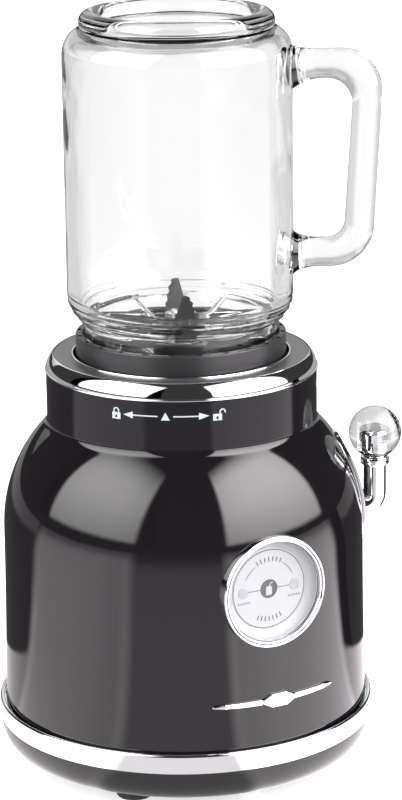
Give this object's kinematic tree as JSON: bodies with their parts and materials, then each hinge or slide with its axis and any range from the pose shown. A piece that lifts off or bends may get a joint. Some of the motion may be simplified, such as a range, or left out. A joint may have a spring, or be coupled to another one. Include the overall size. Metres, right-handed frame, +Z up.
{
  "type": "countertop blender",
  "caption": "Round glossy countertop blender with chrome bands, a side lever, a front dial and an inverted glass mug jar on a bayonet blade cup.",
  "frame": {"origin": "on the base's vertical axis, in the plane of the table that the feet stand on", "axes": "+Z up along the base and jar axis, -Y towards the front, +X towards the lever and handle side"},
  "size_m": [0.1628, 0.1503, 0.3002],
  "materials": {
    "black_enamel": "high gloss",
    "black_moulding": "gloss",
    "chrome_trim": "polished",
    "satin_gray": "satin",
    "dark_moulding": "fine satin",
    "charcoal_cup": "satin",
    "black_rubber": "matte",
    "gray_silicone": "matte",
    "clear_glass": "polished",
    "clear_lens": "polished",
    "knob_acrylic": "clear polished",
    "dial_silver": "fine satin",
    "light_gray": "gloss",
    "stainless": "fine ground",
    "zinc_steel": "plated",
    "lamination_steel": "stacked sheet",
    "bracket_aluminium": "die cast",
    "copper_wire": "enamelled",
    "bronze": "sintered",
    "board_green": "coated",
    "white_plastic": "satin",
    "red_plastic": "satin",
    "carbon": "matt"
  },
  "bodies": {
    "base": {"base_pan": "black_moulding", "feet": "black_rubber", "base_screws": "zinc_steel", "base_trim_ring": "chrome_trim", "body_shell": "black_enamel", "collar_ring": "chrome_trim", "top_plate": "satin_gray", "socket_lip": "chrome_trim", "drive_socket": "dark_moulding", "cord_bushing": "black_rubber", "badge": "chrome_trim", "dial_housing": "dark_moulding", "dial_bezel": "chrome_trim", "dial_face": "dial_silver", "dial_lens": "clear_lens", "indicator_lights": "light_gray", "indicator_board": "board_green", "lever_escutcheon": "chrome_trim", "lever_bush": "dark_moulding", "lever_return_spring": "zinc_steel", "switch_body": "dark_moulding", "switch_bracket": "zinc_steel", "interlock_switch": "dark_moulding", "interlock_spring": "zinc_steel", "control_board": "board_green", "motor_mounts": "black_rubber", "motor_lower_bracket": "bracket_aluminium", "motor_upper_bracket": "bracket_aluminium", "motor_screws": "zinc_steel", "motor_stator": "lamination_steel", "motor_coils": "copper_wire", "motor_brushes": "carbon", "lower_bearing": "zinc_steel", "upper_bearing": "zinc_steel"},
    "lever": {"lever_arm": "chrome_trim", "lever_knob": "knob_acrylic", "lever_cam": "white_plastic"},
    "power_plunger": {"switch_plunger": "red_plastic"},
    "interlock": {"interlock_pin": "white_plastic"},
    "rotor": {"rotor_core": "lamination_steel", "rotor_windings": "copper_wire", "commutator": "copper_wire", "cooling_fan": "white_plastic", "motor_shaft": "zinc_steel", "motor_coupling": "dark_moulding"},
    "bush": {"shaft_bush": "bronze"},
    "cup": {"blade_cup": "charcoal_cup", "shaft_seal": "black_rubber"},
    "gasket": {"jar_gasket": "gray_silicone"},
    "jar": {"jar": "clear_glass"},
    "blades": {"lower_blade": "stainless", "upper_blade": "stainless", "blade_nut": "stainless", "blade_shaft": "zinc_steel", "blade_coupling": "dark_moulding"}
  },
  "joints": [
    {"name": "lever_pull", "type": "hinge", "parent": "base", "child": "lever", "pos_m": [0, 0, 0.098], "axis": [1, 0, 0], "range_deg": [0, 60], "stiffness_Nm_per_rad": 0.06, "springref_deg": -17.19},
    {"name": "switch_travel", "type": "slide", "parent": "base", "child": "power_plunger", "axis": [0, 0, -1], "range_m": [0, 0.0034]},
    {"name": "motor_spin", "type": "hinge", "parent": "base", "child": "rotor", "pos_m": [0, 0, 0.077], "axis": [0, 0, 1], "continuous": true},
    {"name": "interlock_travel", "type": "slide", "parent": "base", "child": "interlock", "axis": [0, 0, -1], "range_m": [0, 0.0036], "deforming": ["interlock_spring"]},
    {"name": "jar_lift", "type": "slide", "parent": "base", "child": "bush", "axis": [0, 0, 1], "range_m": [0, 0.06]},
    {"name": "jar_twist", "type": "hinge", "parent": "bush", "child": "cup", "pos_m": [0, 0, 0.15], "axis": [0, 0, 1], "range_deg": [-24, 0]},
    {"name": "blade_spin", "type": "hinge", "parent": "cup", "child": "blades", "pos_m": [0, 0, 0.16], "axis": [0, 0, 1], "continuous": true},
    {"name": "jar_rise", "type": "slide", "parent": "cup", "child": "gasket", "axis": [0, 0, 1], "range_m": [0, 0.0052]},
    {"name": "jar_unscrew", "type": "hinge", "parent": "gasket", "child": "jar", "pos_m": [0, 0, 0.155], "axis": [0, 0, 1], "range_deg": [0, 360]}
  ],
  "couplings": [
    {"joint": "switch_travel", "follows": "lever_pull", "m_per_rad": 0.003},
    {"joint": "interlock_travel", "follows": "jar_twist", "m_per_rad": -0.0081169},
    {"joint": "blade_spin", "follows": "motor_spin", "ratio": 1},
    {"joint": "jar_rise", "follows": "jar_unscrew", "m_per_rad": 0.00079577}
  ]
}
